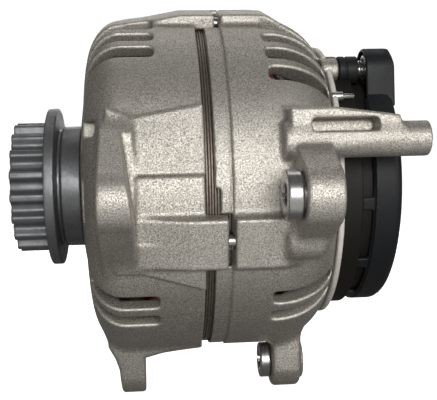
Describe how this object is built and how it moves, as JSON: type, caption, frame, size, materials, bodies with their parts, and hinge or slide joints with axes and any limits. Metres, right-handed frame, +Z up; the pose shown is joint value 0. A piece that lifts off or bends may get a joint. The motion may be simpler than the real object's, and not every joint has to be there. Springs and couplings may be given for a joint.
{
  "type": "car alternator",
  "caption": "Compact claw-pole car alternator with a toothed overrunning drive coupler, cast mounting ears, cooling slots and a black rear cover.",
  "frame": {"origin": "centre of the flat drive-end face of the toothed coupler, on the shaft axis", "axes": "+X along the shaft from the drive end to the rear cover, +Z up, the side mounting ears point along -Y"},
  "size_m": [0.157, 0.1692, 0.1662],
  "materials": {
    "cast_aluminium": "sand-textured casting",
    "machined_aluminium": "machined",
    "steel": "satin",
    "coupler_steel": "matte phosphated",
    "lamination_steel": "bare sheet edges",
    "copper": "lacquered wire",
    "black_plastic": "fine-grained moulding",
    "phenolic": "matte moulding",
    "pale_plate": "matte",
    "carbon": "matte"
  },
  "bodies": {
    "housing": {"b_plus_hood": "black_plastic", "b_plus_insulator": "black_plastic", "b_plus_nut": "steel", "b_plus_stud": "steel", "bearing_retainer_plate": "steel", "brush_spring_a": "steel", "brush_spring_b": "steel", "front_bearing_outer_race": "steel", "front_housing": "cast_aluminium", "lower_ear_bushing": "steel", "negative_diode_1": "steel", "negative_diode_2": "steel", "negative_diode_3": "steel", "positive_diode_1": "steel", "positive_diode_2": "steel", "positive_diode_3": "steel", "rear_bearing_outer_race": "steel", "rear_bearing_sleeve": "phenolic", "rear_cap": "black_plastic", "rear_cap_nut_1": "steel", "rear_cap_nut_2": "steel", "rear_housing": "cast_aluminium", "rectifier_frame": "phenolic", "rectifier_negative_plate": "pale_plate", "rectifier_positive_plate": "machined_aluminium", "regulator_body": "black_plastic", "regulator_screw_1": "steel", "regulator_screw_2": "steel", "retainer_screw_1": "steel", "retainer_screw_2": "steel", "retainer_screw_3": "steel", "side_ear_bushing": "steel", "stator_core": "lamination_steel", "stator_winding": "copper", "through_bolt_1": "steel", "through_bolt_2": "steel", "through_bolt_3": "steel", "through_bolt_4": "steel"},
    "rotor": {"shaft": "steel", "claw_pole_front": "lamination_steel", "claw_pole_rear": "lamination_steel", "field_coil": "copper", "front_fan": "steel", "rear_fan": "steel", "front_spacer": "steel", "slip_ring_1": "copper", "slip_ring_2": "copper", "slip_ring_insulator": "phenolic", "front_bearing_inner_race": "steel", "rear_bearing_inner_race": "steel", "coupler_inner_hub": "steel"},
    "coupler": {"coupler_outer_ring": "coupler_steel", "coupler_end_cap": "black_plastic"},
    "clutch_rollers": {"clutch_roller_cage": "steel"},
    "front_ball_set": {"front_bearing_balls": "steel"},
    "rear_ball_set": {"rear_bearing_balls": "steel"},
    "brush_a": {"brush_a": "carbon"},
    "brush_b": {"brush_b": "carbon"}
  },
  "joints": [
    {"name": "rotor_spin", "type": "hinge", "parent": "housing", "child": "rotor", "pos_m": [0.078, 0, 0], "axis": [1, 0, 0], "continuous": true},
    {"name": "coupler_freewheel", "type": "hinge", "parent": "rotor", "child": "coupler", "pos_m": [0.014, 0, 0], "axis": [1, 0, 0], "continuous": true},
    {"name": "clutch_rollers_roll", "type": "hinge", "parent": "rotor", "child": "clutch_rollers", "pos_m": [0.015, 0, 0], "axis": [1, 0, 0], "continuous": true},
    {"name": "front_balls_orbit", "type": "hinge", "parent": "housing", "child": "front_ball_set", "pos_m": [0.0386, 0, 0], "axis": [1, 0, 0], "continuous": true},
    {"name": "rear_balls_orbit", "type": "hinge", "parent": "housing", "child": "rear_ball_set", "pos_m": [0.1206, 0, 0], "axis": [1, 0, 0], "continuous": true},
    {"name": "brush_a_lift", "type": "slide", "parent": "housing", "child": "brush_a", "axis": [0, 1, 0], "range_m": [0, 0.004], "stiffness_N_per_m": 400, "springref_m": -0.0085, "deforming": ["brush_spring_a"]},
    {"name": "brush_b_lift", "type": "slide", "parent": "housing", "child": "brush_b", "axis": [0, 1, 0], "range_m": [0, 0.004], "stiffness_N_per_m": 400, "springref_m": -0.0085, "deforming": ["brush_spring_b"]}
  ],
  "couplings": [
    {"joint": "clutch_rollers_roll", "follows": "coupler_freewheel", "ratio": 0.589},
    {"joint": "front_balls_orbit", "follows": "rotor_spin", "ratio": 0.383},
    {"joint": "rear_balls_orbit", "follows": "rotor_spin", "ratio": 0.414}
  ]
}
